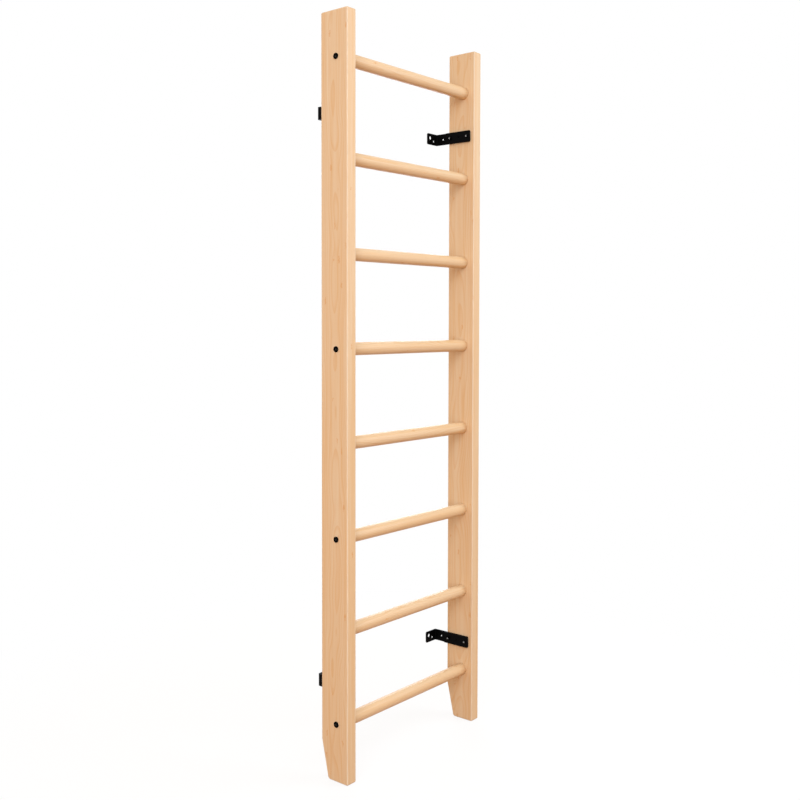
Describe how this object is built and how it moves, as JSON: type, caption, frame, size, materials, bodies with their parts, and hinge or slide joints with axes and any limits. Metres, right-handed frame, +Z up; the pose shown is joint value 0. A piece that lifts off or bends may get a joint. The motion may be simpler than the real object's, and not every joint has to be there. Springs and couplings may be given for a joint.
{
  "type": "wall bars",
  "caption": "Wooden wall bars: two tall uprights joined by round rungs, with black steel brackets that hold them clear of a wall.",
  "frame": {"origin": "where the wall meets the floor, midway between the two sides; the wall is the plane y = 0", "axes": "+Z up along the uprights, +Y towards the wall, +X to the climber's right when facing the wall"},
  "size_m": [0.677, 0.16, 2.3],
  "materials": {
    "upright_wood": "straight-grained pale hardwood boards under a clear satin lacquer",
    "rung_wood": "turned pale hardwood under a clear satin lacquer",
    "black_steel": "black powder coat, fine texture, semi-matt",
    "black_fastener": "black plated steel, semi-gloss"
  },
  "bodies": {
    "root": {"left_upright": "upright_wood", "right_upright": "upright_wood", "rung_1": "rung_wood", "rung_2": "rung_wood", "rung_3": "rung_wood", "rung_4": "rung_wood", "rung_5": "rung_wood", "rung_6": "rung_wood", "rung_7": "rung_wood", "rung_8": "rung_wood", "left_rung_bolt_1": "black_fastener", "left_rung_bolt_4": "black_fastener", "left_rung_bolt_6": "black_fastener", "left_rung_bolt_8": "black_fastener", "right_rung_bolt_1": "black_fastener", "right_rung_bolt_4": "black_fastener", "right_rung_bolt_6": "black_fastener", "right_rung_bolt_8": "black_fastener", "upper_left_bracket_bar": "black_steel", "upper_left_bracket_angle": "black_steel", "upper_left_front_screw": "black_fastener", "upper_left_rear_screw": "black_fastener", "upper_right_bracket_bar": "black_steel", "upper_right_bracket_angle": "black_steel", "upper_right_front_screw": "black_fastener", "upper_right_rear_screw": "black_fastener", "lower_left_bracket_bar": "black_steel", "lower_left_bracket_angle": "black_steel", "lower_left_front_screw": "black_fastener", "lower_left_rear_screw": "black_fastener", "lower_right_bracket_bar": "black_steel", "lower_right_bracket_angle": "black_steel", "lower_right_front_screw": "black_fastener", "lower_right_rear_screw": "black_fastener"}
  },
  "joints": []
}
